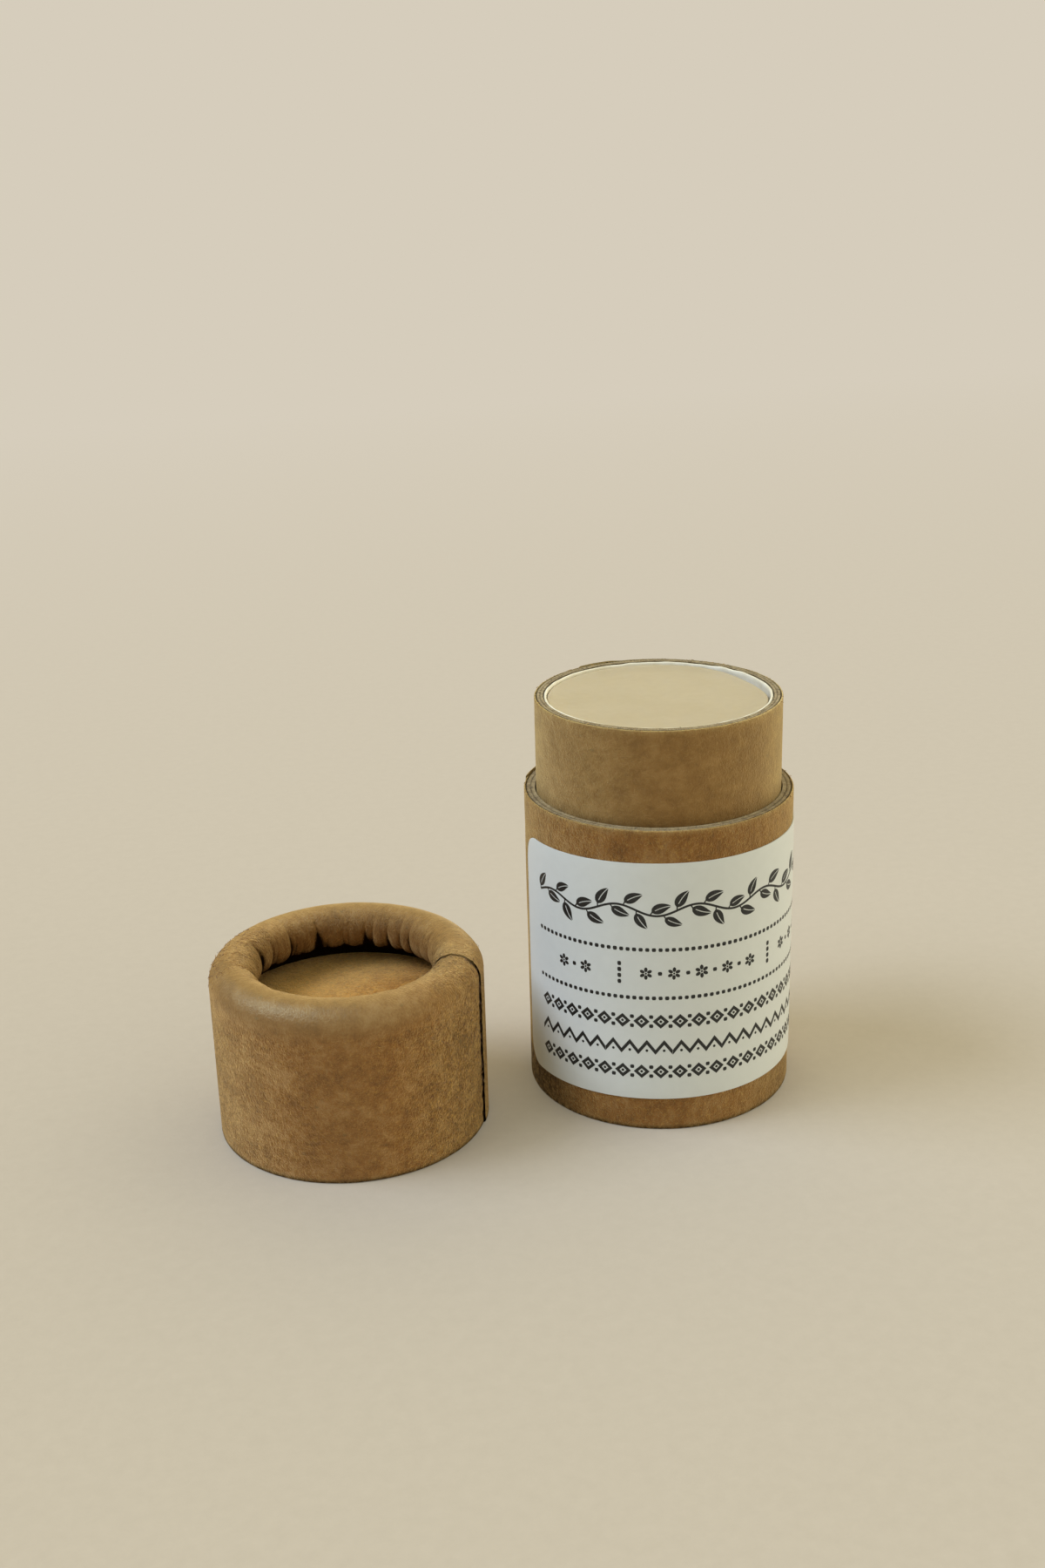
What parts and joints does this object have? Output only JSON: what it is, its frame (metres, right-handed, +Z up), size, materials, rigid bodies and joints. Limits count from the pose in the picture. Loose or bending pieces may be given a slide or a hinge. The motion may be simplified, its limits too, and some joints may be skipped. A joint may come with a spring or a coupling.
{
  "type": "lip balm stick",
  "caption": "Lip balm in a wound paperboard push-up tube, standing open beside its roll-topped cap.",
  "frame": {"origin": "middle of the footprint of tube and cap together, on the surface that both stand on", "axes": "+Z up along both tubes, +X from the cap's axis to the tube's axis, +Y across the row to the back"},
  "size_m": [0.0462, 0.021, 0.0318],
  "materials": {
    "kraft": "matte",
    "board": "matte",
    "greaseproof": "satin",
    "label_paper": "satin",
    "balm": "satin"
  },
  "bodies": {
    "tube": {"base_tube_board": "board", "base_tube_wrap": "kraft", "neck_tube_board": "board", "neck_tube_wrap": "kraft", "neck_liner": "greaseproof", "stop_ring": "board", "label": "label_paper"},
    "piston": {"piston_collar": "board", "piston_disc": "board", "piston_facing": "greaseproof", "balm_stick": "balm"},
    "cap": {"cap_tube_board": "board", "cap_tube_wrap": "kraft", "cap_sleeve": "greaseproof", "cap_end_facing": "kraft", "cap_end_board": "board", "cap_end_liner": "greaseproof"}
  },
  "joints": [
    {"name": "balm_push", "type": "slide", "parent": "tube", "child": "piston", "axis": [0, 0, 1], "range_m": [0, 0.0244]},
    {"name": "cap_lift", "type": "slide", "parent": "tube", "child": "cap", "axis": [0, 0, 1], "range_m": [0, 0.035]}
  ]
}
